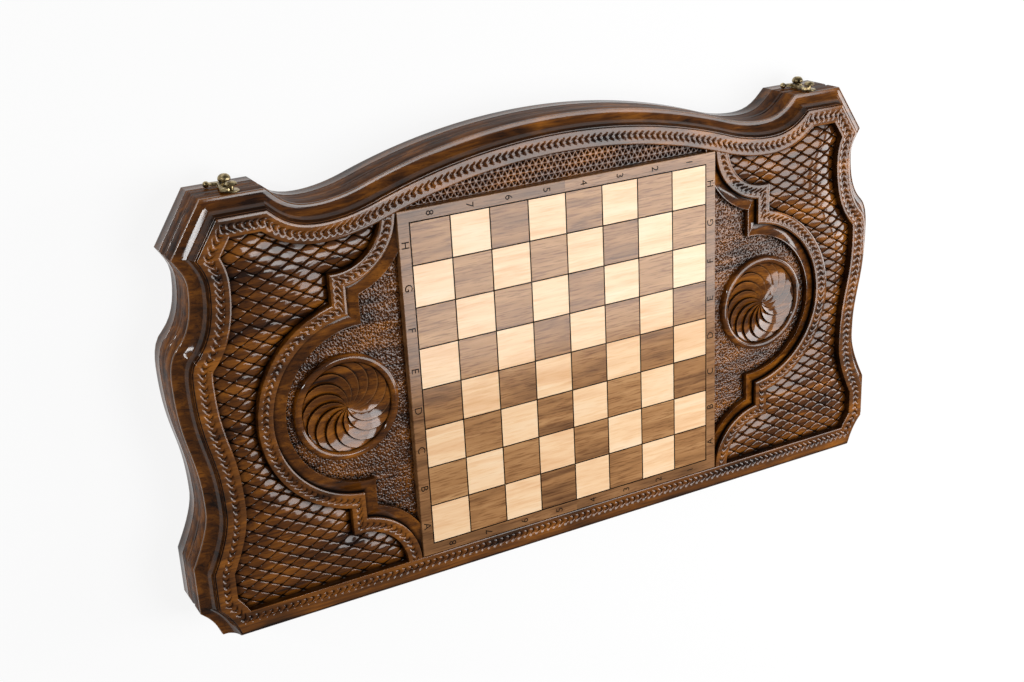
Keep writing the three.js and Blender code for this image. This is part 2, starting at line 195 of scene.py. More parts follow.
# Varnished, stained wood for all but the squares and the margin of the chessboard. Carved pieces also get
# painted shade in their hollows and painted highlights on their crests, both read from the relief attribute.
def stainedWood(name, tones, gloss, surface="plain", grain=(10, 140, 140)):
    material, shader = newMaterial(name)
    streaks = noiseAt(grainCoords(grain), 1.0, 6, 0.7, 0.6)
    patches = noiseAt(grainCoords((24, 46, 46)), 1.0, 3, 0.5, 0.4)
    pores = noiseAt(grainCoords((60, 900, 900)), 1.0, 3, 0.6)
    tone = ramp(streaks * 0.6 + patches * 0.4,
                (0.38, tones["dark"]), (0.5, tones["mid"]), (0.63, tones["light"]))
    poreMask = ramp(pores, (0.34, (0, 0, 0)), (0.44, (1, 1, 1)))
    colour = mixColour(1.0, tone, mixColour(poreMask, (0.5, 0.44, 0.4), (1, 1, 1)), "MULTIPLY")
    rough = gloss["rough"] + patches * gloss["roughSpread"]
    coat = gloss["coat"]
    if surface == "seamed":
        coat = ramp(reliefMask(), (0.5, (coat, coat, coat)), (0.95, (1, 1, 1)))
    if surface == "carved":
        # Painted shade: low relief turns the colour towards the near-black recess tone, standing in for shade
        # in the hollows together with the dark stain there
        depth = ramp(reliefMask(), (0.12, (0, 0, 0)), (0.8, (1, 1, 1)))
        colour = mixColour(depth, tones["recessShadeAndStain"], colour)
        # Painted highlight: the highest relief, on arrises and blade crests, is mixed towards a pale tone
        # that stands for glints as well as wear
        crest = ramp(reliefMask(), (0.9, (0, 0, 0)), (1.0, (1, 1, 1)))
        colour = mixColour(crest * 0.45, colour, tones["wornAndHighlight"])
        rough = rough + (1 - depth) * 0.35
        coat = depth * coat
    setShader(shader, {
        "Base Color": colour, "Roughness": rough, "Coat Weight": coat,
        "Coat Roughness": gloss["coatRough"], "Specular IOR Level": gloss["shine"],
        "Normal": bump(streaks * 0.6 + pores * 0.4, gloss["bump"], 0.0004)})
    return material


# Squares are cut from different boards, so each has its own tone and its own run of the grain. The
# margin is one long board.
longBoard = 2000.0


def chessWood(name, tones, gloss, size, spread):
    material, shader = newMaterial(name)
    perMetre = 1 / (size * milli)
    cell = Wire.node("ShaderNodeVectorMath", {"operation": "FLOOR"}, {
        0: mapped(objectPlace(), (perMetre, perMetre, 0), (0, -panelFace.y * perMetre, 0))})
    pick = Wire.node("ShaderNodeTexWhiteNoise", {"noise_dimensions": "3D"}, {"Vector": cell})
    shift = Wire.node("ShaderNodeTexWhiteNoise", {"noise_dimensions": "3D"}, {"Vector": cell}, 1)
    place = Wire.node("ShaderNodeVectorMath", {"operation": "ADD"}, {0: objectPlace(), 1: shift})

    def grained(scale, detail, twist):
        return noiseAt(mapped(place, scale), 1.0, detail, 0.6, twist)

    grain = grained((6, 110, 110), 7, 0.9)
    figure = grained((7, 34, 34), 3, 1.6)
    fibre = grained((60, 800, 800), 3, 0.0)
    tone = ramp(grain * 0.45 + figure * 0.4 + (pick - 0.5) * spread + 0.075,
                (0.36, tones["dark"]), (0.5, tones["mid"]), (0.66, tones["light"]))
    fleck = ramp(fibre, (0.36, (0, 0, 0)), (0.5, (1, 1, 1)))
    colour = mixColour(1.0, tone, mixColour(fleck, tones["fleck"], (1, 1, 1)), "MULTIPLY")
    setShader(shader, {
        "Base Color": colour, "Roughness": gloss["rough"] + figure * 0.12, "Coat Weight": gloss["coat"],
        "Coat Roughness": gloss["coatRough"], "Specular IOR Level": gloss["shine"],
        "Normal": bump(grain * 0.5 + fibre * 0.5, 0.15, 0.0003)})
    return material


def agedBrass():
    material, shader = newMaterial("agedBrass")
    blotch = noiseAt(grainCoords((1, 1, 1)), 260, 5, 0.6)
    speck = noiseAt(grainCoords((1, 1, 1)), 1400, 3, 0.6)
    colour = ramp(blotch, (0.36, (0.09, 0.065, 0.034)),
                  (0.5, (0.32, 0.245, 0.125)), (0.64, (0.58, 0.48, 0.28)))
    setShader(shader, {
        "Base Color": colour, "Metallic": 1.0, "Roughness": 0.16 + blotch * 0.36,
        "Normal": bump(speck, 0.15, 0.0002)})
    return material


# The near-black tone is painted shade in the hollows, with dark stain; the pale tone is a painted highlight
# on the crests, with wear
walnut = {"dark": (0.016, 0.0042, 0.0006), "mid": (0.108, 0.032, 0.0026), "light": (0.29, 0.096, 0.0080),
          "recessShadeAndStain": (0.0030, 0.0012, 0.0005), "wornAndHighlight": (0.30, 0.135, 0.044)}
woodGloss = {"rough": 0.36, "roughSpread": 0.16, "coat": 0.9, "coatRough": 0.08, "shine": 0.04,
             "bump": 0.25}
railGloss = {"rough": 0.42, "roughSpread": 0.16, "coat": 0.08, "coatRough": 0.06, "shine": 0.03,
             "bump": 0.25}
carvedWood = stainedWood("carvedWood", walnut, woodGloss, "carved")
railWood = stainedWood("railWood", walnut, railGloss, "seamed")
fieldTones = {"dark": (0.17, 0.075, 0.026), "mid": (0.30, 0.145, 0.054), "light": (0.42, 0.225, 0.092)}
paleTones = {"dark": (0.52, 0.34, 0.17), "mid": (0.66, 0.46, 0.25), "light": (0.76, 0.57, 0.34)}
darkTones = {"dark": (0.022, 0.009, 0.004), "mid": (0.055, 0.022, 0.009), "light": (0.10, 0.042, 0.017)}
satin = {"rough": 0.36, "roughSpread": 0.1, "coat": 0.3, "coatRough": 0.2, "shine": 0.4, "bump": 0.15}
fieldWood = stainedWood("fieldWood", fieldTones, satin, "plain", (5, 60, 60))
paleInlay = stainedWood("paleInlay", paleTones, satin, "plain", (6, 80, 80))
darkInlay = stainedWood("darkInlay", darkTones, satin, "plain", (6, 80, 80))
squareGloss = {"rough": 0.42, "coat": 0.75, "coatRough": 0.12, "shine": 0.1}
lightSquare = chessWood("lightSquare", {
    "dark": (0.80, 0.47, 0.245), "mid": (0.92, 0.63, 0.375), "light": (0.95, 0.73, 0.50),
    "fleck": (0.95, 0.89, 0.83)}, squareGloss, squareSize, 0.08)
darkSquare = chessWood("darkSquare", {
    "dark": (0.160, 0.066, 0.0200), "mid": (0.370, 0.176, 0.062), "light": (0.520, 0.280, 0.116),
    "fleck": (0.60, 0.52, 0.44)}, squareGloss, squareSize, 0.14)
marginWood = chessWood("marginWood", {
    "dark": (0.120, 0.050, 0.0150), "mid": (0.270, 0.124, 0.044), "light": (0.420, 0.215, 0.088),
    "fleck": (0.60, 0.52, 0.44)}, squareGloss, longBoard, 0.0)
burntLine = stainedWood("burntLine", {
    "dark": (0.004, 0.003, 0.002), "mid": (0.009, 0.006, 0.004), "light": (0.016, 0.010, 0.007)},
    {"rough": 0.5, "roughSpread": 0.1, "coat": 0.0, "coatRough": 0.3, "shine": 0.03, "bump": 0.1})
brass = agedBrass()
print("materials made")


# Pieces: faces with many corners are the flat ones, and edges over the given angle stay sharp
manyCorners = 9


def addPiece(name, bm, place, materials, body, replaced, sharpDegrees):
    bmesh.ops.remove_doubles(bm, verts=bm.verts, dist=weld)
    bmesh.ops.recalc_face_normals(bm, faces=bm.faces)
    bm.transform(place)
    mesh = bpy.data.meshes.new(name)
    bm.to_mesh(mesh)
    bm.free()
    for material in materials:
        mesh.materials.append(material)
    mesh.shade_smooth()
    mesh.set_sharp_from_angle(angle=math.radians(sharpDegrees))
    for polygon in mesh.polygons:
        polygon.use_smooth = len(polygon.vertices) < manyCorners
    piece = bpy.data.objects.new(name, mesh)
    bpy.context.scene.collection.objects.link(piece)
    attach(piece, body)
    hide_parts(*replaced)


def keepLargest(bm):
    left = set(bm.faces)
    parts = []
    while left:
        stack = [left.pop()]
        part = set(stack)
        while stack:
            for near in [f for e in stack.pop().edges for f in e.link_faces if f in left]:
                left.discard(near)
                part.add(near)
                stack.append(near)
        parts.append(part)
    parts.sort(key=len)
    bmesh.ops.delete(bm, geom=[f for part in parts[:-1] for f in part], context="FACES")


# A sheet of columns by rows faces, each corner put where place(column, row) says. Corners that it
# gives a margin below nought are left out, with any scraps that come loose.
def gridSheet(columns, rows, place):
    bm = bmesh.new()
    relief = bm.verts.layers.float.new("relief")
    made = bmesh.ops.create_grid(bm, x_segments=columns, y_segments=rows, size=1)["verts"]
    gone = []
    for vert in made:
        column = round((vert.co.x + 1) / 2 * columns)
        row = round((vert.co.y + 1) / 2 * rows)
        x, y, z, height, *margin = place(column, row)
        vert.co = (x, y, z)
        vert[relief] = height
        if margin and margin[0] < 0:
            gone.append(vert)
    if gone:
        bmesh.ops.delete(bm, geom=gone, context="VERTS")
        bmesh.ops.delete(bm, geom=[v for v in bm.verts if not v.link_faces], context="VERTS")
        keepLargest(bm)
    return bm


def closeHoles(bm):
    bmesh.ops.holes_fill(bm, edges=[e for e in bm.edges if e.is_boundary], sides=0)


# Gives an open sheet walls down to a level and a flat underside
def closeBelow(bm, level):
    rim = [e for e in bm.edges if e.is_boundary]
    made = bmesh.ops.extrude_edge_only(bm, edges=rim)["geom"]
    for vert in [g for g in made if isinstance(g, bmesh.types.BMVert)]:
        vert.co.z = level
    closeHoles(bm)


# The carved outline in corner to corner stretches, from the right foot round the arch to the left foot
def bezier(start, first, second, end):
    return list(geometry.interpolate_bezier(start, first, second, end, edge["curveSteps"]))


def quadratic(start, pull, end):
    return bezier(start, start.lerp(pull, 2 / 3), end.lerp(pull, 2 / 3), end)


def xy(x, y):
    return Vector((x, y))


def rightStretches():
    foot = xy(lugHalf - edge["footIn"], 0)
    coveTop = xy(lugHalf, edge["footCove"])
    lugTop = xy(lugHalf, edge["lugTop"])
    waist = xy(lugHalf - edge["waistIn"], edge["waistAt"])
    bulge, shoulder, scallop, tip = [xy(lugHalf - edge[f"{name}In"], panelTop - edge[f"{name}Drop"])
                                     for name in ("bulge", "shoulder", "scallop", "tip")]
    corner = xy(lugHalf - edge["cornerIn"], panelTop + edge["cornerRise"])
    flatEnd = xy(corner.x - edge["flat"], corner.y)
    valley = xy(flatEnd.x - edge["valleyRun"], panelTop + edge["valleyRise"])
    archHalf = panelHalf + edge["archReach"]
    archAngle = math.asin(archHalf / edge["archRadius"])
    archCentre = archTop - edge["archRadius"]
    archEnd = xy(archHalf, archCentre + edge["archRadius"] * math.cos(archAngle))
    waistRun = (bulge.y - waist.y) / 2
    archRun = (valley.x - archEnd.x) / 3
    valleyRun = edge["valleyRun"]
    side = bezier(lugTop, lugTop + xy(-edge["waistIn"] / 2, edge["waistIn"]),
                  waist - xy(0, edge["waistIn"]), waist)
    side += bezier(waist, waist + xy(0, waistRun), bulge - xy(0, waistRun), bulge)[1:]
    side += quadratic(bulge, xy(bulge.x, shoulder.y - edge["shoulderIn"] / 2), shoulder)[1:]
    side += bezier(shoulder, shoulder + xy(-edge["shoulderIn"], edge["shoulderIn"]),
                   scallop - xy(0, edge["scallopDrop"]), scallop)[1:]
    side += quadratic(scallop, xy(scallop.x, (scallop.y + tip.y) / 2), tip)[1:]
    top = bezier(flatEnd, flatEnd - xy(valleyRun / 4, valleyRun / 4), valley + xy(valleyRun / 2, 0), valley)
    top += bezier(valley, valley - xy(archRun, 0),
                  archEnd + xy(archRun, -archRun * math.tan(archAngle)), archEnd)[1:]
    arcSteps = 2 * edge["curveSteps"]
    for step in range(1, arcSteps + 1):
        angle = archAngle * (1 - step / arcSteps)
        top.append(xy(0, archCentre) + xy(math.sin(angle), math.cos(angle)) * edge["archRadius"])
    cove = quadratic(foot, foot + xy(edge["footIn"] / 3, edge["footCove"] * 0.65), coveTop)
    return [cove, [coveTop, lugTop], side, [tip, corner], [corner, flatEnd], top]


def mirrored(points):
    return [xy(-p.x, p.y) for p in reversed(points)]


rightSide = rightStretches()
crown = rightSide[-1] + mirrored(rightSide[-1])[1:]
stretches = rightSide[:-1] + [crown] + [mirrored(s) for s in reversed(rightSide[:-1])]


def headingsOf(points):
    steps = [(b - a).normalized() for a, b in zip(points, points[1:])]
    inner = [(a + b).normalized() for a, b in zip(steps, steps[1:])]
    return [steps[0]] + inner + [steps[-1]]


def nearTree(points):
    tree = kdtree.KDTree(len(points))
    for index, point in enumerate(points):
        tree.insert((point.x, point.y, 0), index)
    tree.balance()
    return tree


headings = [headingsOf(s) for s in stretches]
strands = [nearTree(s) for s in stretches]


def cutStart(points, origin, along):
    while len(points) > 2 and (points[1] - origin).dot(along) < 0:
        points.pop(0)
    step = points[1] - points[0]
    points[0] = points[0] + step * ((origin - points[0]).dot(along) / step.dot(along))


# One stretch moved outward, ending on the mitre lines to its neighbours or on the line y = foot
def movedStretch(index, out, foot):
    points = [p + xy(h.y, -h.x) * out for p, h in zip(stretches[index], headings[index])]
    points = [p for p in points if strands[index].find((p.x, p.y, 0))[2] >= abs(out) * 0.985]
    up = xy(0, 1)
    last = len(stretches) - 1
    if index == 0:
        cutStart(points, up * foot, up)
    else:
        cutStart(points, stretches[index][0], (headings[index - 1][-1] + headings[index][0]).normalized())
    points.reverse()
    if index == last:
        cutStart(points, up * foot, up)
    else:
        cutStart(points, stretches[index][-1], -(headings[index][-1] + headings[index + 1][0]).normalized())
    points.reverse()
    return points


def lengthOf(points):
    return sum((b - a).length for a, b in zip(points, points[1:]))


def evenly(points, count):
    total = lengthOf(points)
    made = [points[0].copy()]
    travelled = 0.0
    index = 0
    for step in range(1, count):
        goal = total * step / count
        while travelled + (points[index + 1] - points[index]).length < goal:
            travelled += (points[index + 1] - points[index]).length
            index += 1
        span = points[index + 1] - points[index]
        made.append(points[index] + span * ((goal - travelled) / span.length))
    return made + [points[-1].copy()]


# The whole edge moved outward and closed along the foot, with as many points whatever the distance,
# except that a long step counts the foot by its own length
longStep = 5


def closedEdge(out, foot, step):
    points = []
    for index in range(len(stretches)):
        count = max(2, round(lengthOf(stretches[index]) / step))
        points += evenly(movedStretch(index, out, foot), count)[:-1]
    end = movedStretch(len(stretches) - 1, out, foot)[-1]
    count = round(2 * lugHalf / step)
    if step > longStep:
        count = 2 * round((points[0].x - end.x) / step / 2)
    return points + evenly([end, points[0]], count)


def travelAlong(points):
    made = [0.0]
    for a, b in zip(points, points[1:]):
        made.append(made[-1] + (b - a).length)
    return made


def footLine(depth):
    left = max(0.0, 1 - depth / edge["footRound"])
    return edge["footRound"] * (1 - math.sqrt(1 - left * left))


# Edges of the boards, as rows of distance out, depth, foot and relief, the relief setting painted shade where
# low and a painted highlight near 1: the lid has a step, a deep cove and a thin ridge, the base a plain
# rounded edge
moulding = {"stepOut": 1.0, "stepDrop": 1.2, "filletOut": 0.9, "land": 1.2, "ridge": 0.4, "round": 2.5,
            "ease": 0.12, "seamEase": 0.15, "tuckIn": 3.0, "tuckDrop": 1.6, "along": 2.2, "coveSteps": 14,
            "roundSteps": 6, "sharp": 28}


def closedRows(rows):
    tuck, ease = moulding["tuckIn"], moulding["seamEase"]
    inner = (-tuck, moulding["tuckDrop"], tuck + edge["footRound"], 0.2)
    wall = [(edge["mould"], boardThick - ease, 0, 0.8), (edge["mould"] - ease, boardThick, ease, 0.6),
            (-tuck, boardThick, tuck + edge["footRound"], 0.2)]
    return [inner] + rows + wall + [inner]


def mouldingRows():
    out, drop, ease = moulding["stepOut"], moulding["stepDrop"], moulding["ease"]
    coveOut = edge["mould"] - out - moulding["filletOut"]
    coveDrop = boardThick - drop - moulding["land"]
    # Relief near 1 on the step's arris and on the ridge paints highlights; the low relief at the top of the
    # cove paints shade
    rows = [(0, drop, footLine(drop), 0.1), (out / 2, drop, footLine(drop) - 0.05, 0.5),
            (out - ease, drop, footLine(drop) - 0.1, 0.98)]
    for step in range(moulding["coveSteps"] + 1):
        turn = step / moulding["coveSteps"] * math.pi / 2
        depth = drop + ease + (coveDrop - ease) * math.sin(turn)
        relief = 0.25 + 0.6 * math.sin(turn)
        rows.append((out + coveOut * (1 - math.cos(turn)), depth, footLine(depth), relief))
    ridgeOut = out + coveOut
    ridgeDepth = drop + coveDrop - moulding["ridge"]
    rows += [(ridgeOut + 0.1, ridgeDepth + 0.15, 0.04, 0.9), (ridgeOut + 0.28, ridgeDepth, 0.03, 1.0),
             (ridgeOut + 0.62, ridgeDepth, 0.02, 1.0)]
    return rows + [(edge["mould"] - 0.08, ridgeDepth + 0.15, 0.01, 0.95),
                   (edge["mould"], ridgeDepth + 0.5, 0, 0.8)]


def plainRows():
    size = moulding["round"]
    rows = [(0, 0.4, footLine(0) + 0.6, 0.1), (0.12, 0.12, footLine(0) + 0.5, 0.8),
            (0.4, 0.02, footLine(0) + 0.4, 0.85)]
    for step in range(moulding["roundSteps"] + 1):
        turn = step / moulding["roundSteps"] * math.pi / 2
        depth = 0.02 + size * (1 - math.cos(turn))
        rows.append((edge["mould"] - size * (1 - math.sin(turn)), depth, footLine(depth), 0.5))
    return rows + [(edge["mould"], 4.0, footLine(4.0), 0.5), (edge["mould"], edge["footRound"], 0, 0.5)]


def boardEdge(rows, step):
    rows = closedRows(rows)
    lines = [closedEdge(out, foot, step) for out, depth, foot, relief in rows]

    def place(column, row):
        point = lines[row][column]
        return point.x, point.y, -rows[row][1], rows[row][3]

    return gridSheet(len(lines[0]) - 1, len(rows) - 1, place)


# Carved rope: round strands, bowed along the run. Each arris beside it is eased over two short flats.
rope = {"pitch": 5.2, "half": 2.75, "deep": 1.5, "lead": 3.4}
ropeSpan = 1.06
ropeShade = 1.1
wide, slight, shallow = 0.4, 0.12, 0.1


def ropeDepth(travel, across, size):
    share = abs(across) / size["half"]
    if share >= 1:
        return 0.0
    phase = ((travel + size["lead"] * share * share) / size["pitch"]) % 1
    strand = 1 - math.sqrt(1 - (2 * phase - 1) ** 2)
    return size["deep"] * strand * (1 - share ** 6)


border = {"band": 13.3, "footBand": 19.0, "ropeAt": -6.65, "footRope": 13.25, "bottom": 7.0,
          "outerLand": 2.2, "innerLand": 11.3, "ropeRows": 12, "along": 0.62, "sharp": 50}


# Where a row of the border runs along the foot, which is wider below the rope
def borderFoot(out):
    low, middle, high = edge["footRound"], border["footRope"], border["footBand"]
    half = rope["half"] * ropeSpan
    outer, inner = border["ropeAt"] + half, border["ropeAt"] - half
    if out > outer:
        return low + (middle - half - low) * out / outer
    if out > inner:
        return middle + border["ropeAt"] - out
    return middle + half + (high - middle - half) * (inner - out) / (inner + border["band"])


def borderRows():
    band, bottom, drop = border["band"], border["bottom"], moulding["stepDrop"]

    def flat(out):
        return out, 0.0, borderFoot(out)

    rows = [(-0.3, bottom, edge["footRound"]), (-0.01, drop, footLine(drop)), (0, wide, footLine(wide)),
            (-slight, shallow, footLine(shallow)), flat(-wide), flat(-border["outerLand"])]
    for step in range(border["ropeRows"] + 1):
        rows.append(flat(border["ropeAt"] + rope["half"] * ropeSpan * (1 - 2 * step / border["ropeRows"])))
    return rows + [flat(-border["innerLand"]), flat(wide - band),
                   (slight - band, shallow, borderFoot(slight - band)), (-band, wide, border["footBand"]),
                   (-band, bottom, border["footBand"]), rows[0]]


def ropeBorder(step):
    rows = borderRows()
    lines = [closedEdge(out, foot, step) for out, depth, foot in rows]
    middle = min(range(len(rows)), key=lambda i: abs(rows[i][0] - border["ropeAt"]))
    travel = travelAlong(lines[middle])
    turns = round(travel[-1] / rope["pitch"])
    travel = [t * turns * rope["pitch"] / travel[-1] for t in travel]

    def place(column, row):
        out, depth, foot = rows[row]
        point = lines[row][column]
        cut = ropeDepth(travel[column], out - border["ropeAt"], rope) if depth == 0 else 0.0
        # Painted shade: the rope is darker where it is cut deeper and the walls are painted dark; the flats
        # sit just over the crest threshold, a faint painted highlight
        relief = 0.92 - ropeShade * cut / rope["deep"] if depth < 0.2 else 0.3
        return point.x, point.y, -depth - cut, relief

    return gridSheet(len(lines[0]) - 1, len(rows) - 1, place)


# Cartouche: a roped band, then a hollow ramp up to a sharp arris round the sunk ground
cartouche = {"band": 10.9, "cove": 9.3, "reach": 34.4, "radius": 79, "notch": 52.5, "lobeReach": 48.4,
             "lobeRise": 134.9, "lobe": 36.3, "rampFoot": 4.0, "arris": 0.9, "bottom": 7.0, "sunk": 0.15,
             "overrun": 8.0, "overrunSteps": 8, "lap": 2.5, "land": 1.8, "ropeRows": 10, "rampSteps": 10,
             "along": 0.62, "sharp": 42}
cartoucheRope = {"pitch": 4.9, "half": 2.4, "deep": 1.4, "lead": 3.0}


def cartoucheParts(inset):
    lobe, big = cartouche["lobe"] + inset, cartouche["radius"] - inset
    lobeX, bigX = panelHalf + cartouche["lobeReach"], panelHalf + cartouche["reach"]
    notchX = panelHalf + cartouche["notch"] - inset
    lobeEnd = 2 * math.pi - math.acos((notchX - lobeX) / lobe)
    bigStart = math.acos((notchX - bigX) / big)

    def arc(x, y, radius, start, end, steps=60):
        angles = [start + (end - start) * i / steps for i in range(steps + 1)]
        return [xy(x + radius * math.cos(a), panelMiddle + y + radius * math.sin(a)) for a in angles]

    upper = arc(lobeX, cartouche["lobeRise"], lobe, math.pi, lobeEnd)
    steps = cartouche["overrunSteps"]
    overrun = [upper[0] + xy(0, cartouche["overrun"] * (1 - i / steps)) for i in range(steps)]
    upper = overrun + upper
    middle = arc(bigX, 0, big, bigStart, -bigStart)
    lower = [xy(p.x, 2 * panelMiddle - p.y) for p in reversed(upper)]
    upper, lower = [[p for p in line if borderFence.inside(p.x, p.y) > -cartouche["lap"]]
                    for line in (upper, lower)]
    return [upper, [upper[-1], middle[0]], middle, [middle[-1], lower[0]], lower]


def cartoucheLine(inset, step):
    counts = [max(2, round(lengthOf(p) / step)) for p in cartoucheParts(0)]
    points = []
    for part, count in zip(cartoucheParts(inset), counts):
        points += evenly(part, count)[:-1]
    return points + [cartoucheParts(inset)[-1][-1]]


def cartoucheRows():
    band, cove, bottom, land = [cartouche[name] for name in ("band", "cove", "bottom", "land")]
    rows = [(0, bottom, 0.2), (0, wide, 0.7), (slight, shallow, 0.9), (wide, 0.0, 0.92), (land, 0.0, 0.92)]
    dark = cartouche["rampFoot"]
    half = cartoucheRope["half"] * ropeSpan
    for step in range(cartouche["ropeRows"] + 1):
        rows.append((band / 2 - half * (1 - 2 * step / cartouche["ropeRows"]), 0.0, 0.92))
    rows += [(band - land, 0.0, 0.92), (band - wide, 0.0, 0.92), (band - slight, shallow, 0.95),
             (band, wide, 0.7), (band + 0.05, dark - 0.2, 0.0)]
    # Painted shade: relief is 0 at the foot of the ramp and lightens up it; the arris row near 1 is a painted
    # highlight
    rise = dark - cartouche["arris"]
    for step in range(cartouche["rampSteps"] + 1):
        share = step / cartouche["rampSteps"]
        depth = dark - rise * share ** 1.7
        rows.append((band + 0.25 + (cove - 0.5) * share, depth, min(0.88, 2.2 * share)))
    inner = band + cove
    return rows + [(inner - 0.1, cartouche["arris"] + 0.02, 0.98), (inner, cartouche["arris"] + 0.3, 0.7),
                   (inner, bottom, 0.2), rows[0]]


def cartoucheStrip(side, step):
    rows = cartoucheRows()
    lines = [cartoucheLine(inset, step) for inset, depth, relief in rows]
    middle = cartouche["band"] / 2
    travel = travelAlong(cartoucheLine(middle, step))
    half = travel[-1] / 2

    def place(column, row):
        inset, depth, relief = rows[row]
        point = lines[row][column]
        cut = ropeDepth(abs(travel[column] - half), inset - middle, cartoucheRope) if depth == 0 else 0.0
        # Painted shade: the rope is painted darker where it is cut deeper
        return (side * point.x, point.y, -depth - cut - cartouche["sunk"],
                relief - ropeShade * cut / cartoucheRope["deep"])

    bm = gridSheet(len(lines[0]) - 1, len(rows) - 1, place)
    bmesh.ops.remove_doubles(bm, verts=bm.verts, dist=weld)
    closeHoles(bm)
    return bm


# How far a point lies from a drawn line, positive on its left
class Fence:
    def __init__(self, points):
        self.headings = headingsOf(points)
        self.tree = nearTree(points)

    def inside(self, x, y):
        near, index, away = self.tree.find((x, y, 0))
        heading = self.headings[index]
        side = heading.x * (y - near.y) - heading.y * (x - near.x)
        return away if side >= 0 else -away


fenceStep = 1.0
borderFence = Fence(closedEdge(-border["band"], border["footBand"], fenceStep))
wingFence = Fence(cartoucheLine(0, fenceStep))
groundFence = Fence(cartoucheLine(cartouche["band"] + cartouche["cove"], fenceStep))

# Quilted wings: flat lozenges between cut lines, with a punched dot at each crossing
quilt = {"width": 15.8, "height": 9.4, "edgeDepth": 5.6, "rise": 3.8, "ease": 12.0, "line": 0.6,
         "groove": 0.65, "pillow": 0.12, "dot": 1.5, "dotDeep": 1.3, "under": 3.5, "cells": 22,
         "bottom": -8.0, "shade": 5.0, "sharp": 75,
         "cuts": (0, 0.035, 0.08, 0.17, 0.4, 0.6, 0.83, 0.92, 0.965)}


def quiltedWing(side):
    cuts = quilt["cuts"]
    count = len(cuts)
    span = 2 * quilt["cells"] * count
    middleX = panelHalf + (lugHalf - panelHalf) / 2
    slant = math.hypot(quilt["width"], quilt["height"]) / 2
    squeeze = quilt["width"] * quilt["height"] / 2 / slant

    def place(column, row):
        a = column // count - quilt["cells"] + cuts[column % count]
        b = row // count - quilt["cells"] + cuts[row % count]
        x = middleX + (a + b) * quilt["width"] / 2
        y = panelMiddle + (a - b) * quilt["height"] / 2
        away = min(borderFence.inside(x, y), wingFence.inside(x, y))
        fa, fb = a - math.floor(a), b - math.floor(b)
        na, nb = min(fa, 1 - fa), min(fb, 1 - fb)
        near = min(na, nb) * squeeze
        groove = max(0.0, 1 - near / quilt["groove"])
        dx = (na if fa < 0.5 else -na, nb if fb < 0.5 else -nb)
        gap = math.hypot((dx[0] + dx[1]) * quilt["width"] / 2, (dx[0] - dx[1]) * quilt["height"] / 2)
        dot = max(0.0, 1 - (gap / quilt["dot"]) ** 2)
        rise = 1 - math.exp(-max(away, 0) / quilt["ease"])
        swell = quilt["pillow"] * 16 * na * (1 - na) * nb * (1 - nb)
        depth = quilt["edgeDepth"] - quilt["rise"] * rise - swell
        depth += max(quilt["line"] * groove, quilt["dotDeep"] * dot)
        # Painted shade: relief falls within quilt shade of the walls and in the cut lines and punched dots
        relief = 0.2 + 0.7 * min(1.0, max(away, 0) / quilt["shade"]) - 0.9 * max(groove, dot)
        return side * x, y, -depth, max(0.0, relief), away + quilt["under"]

    bm = gridSheet(span, span, place)
    closeBelow(bm, quilt["bottom"])
    return bm


# Sunk ground: fine stipple round the rosettes, crossing star lines under the arch
ground = {"depth": 5.5, "step": 0.45, "pitch": 1.5, "pit": 0.9, "pitHalf": 0.52, "under": 3.0,
          "bottom": -8.0, "shade": 4.0, "panelLap": 2, "footLap": 4, "topLap": 6, "sharp": 75}
starLines = {"pitch": 4.4, "crest": 0.35, "line": 0.8, "deep": 1.2, "sideLap": 6, "panelLap": 4, "step": 0.6}


def stipple(x, y):
    near = noise.voronoi(Vector((x / ground["pitch"], y / ground["pitch"], 0.5)))[0][0]
    return ground["pit"] * max(0.0, 1 - (near / ground["pitHalf"]) ** 2)


def starred(x, y):
    nearest = starLines["pitch"]
    for turn in (0, math.pi / 3, 2 * math.pi / 3):
        along = (x * math.sin(turn) + y * math.cos(turn)) / starLines["pitch"]
        nearest = min(nearest, abs(along - round(along)) * starLines["pitch"])
    return starLines["deep"] * min(1.0, max(0.0, nearest - starLines["crest"]) / starLines["line"])


def sunkGround(start, end, away, punch, step, side=1):
    columns = round((end[0] - start[0]) / step)
    rows = round((end[1] - start[1]) / step)

    def place(column, row):
        x = start[0] + (end[0] - start[0]) * column / columns
        y = start[1] + (end[1] - start[1]) * row / rows
        cut = punch(x, y)
        wall = away(x, y)
        clear = min(1.0, max(0.0, wall) / ground["shade"])
        # Painted shade: relief falls close to the walls and in the stipple pits and star lines
        relief = 0.3 + 0.6 * clear - 0.85 * min(1.0, cut / ground["pit"])
        return side * x, y, -ground["depth"] - cut, relief, wall + ground["under"]

    bm = gridSheet(columns, rows, place)
    closeBelow(bm, ground["bottom"])
    return bm


def withinCartouche(x, y):
    return min(-groundFence.inside(x, y), borderFence.inside(x, y))


def sideGround(side, coarse):
    start = (panelHalf - ground["panelLap"], border["footBand"] - ground["footLap"])
    end = (panelHalf + cartouche["reach"] + cartouche["radius"], panelTop + ground["topLap"])
    return sunkGround(start, end, withinCartouche, stipple, ground["step"] * coarse, side)


def archGround(coarse):
    reach = panelHalf + starLines["sideLap"]
    return sunkGround((-reach, panelTop - starLines["panelLap"]), (reach, archTop), borderFence.inside,
                      starred, starLines["step"] * coarse)


# Rosette: a whirl of blades in a rimmed dish
rosette = {"reach": 47.7, "radius": 39.4, "dish": 33.4, "rim": 4.7, "floor": 1.9, "hub": 3.4,
           "blades": 14, "blade": 3.0, "curl": 34.0, "dishSteps": 26, "rimSteps": 12, "rimFoot": 1.3,
           "skirt": -2.2, "sharp": 50,
           "cuts": (0, 0.05, 0.16, 0.34, 0.52, 0.7, 0.86, 0.96, 0.985)}


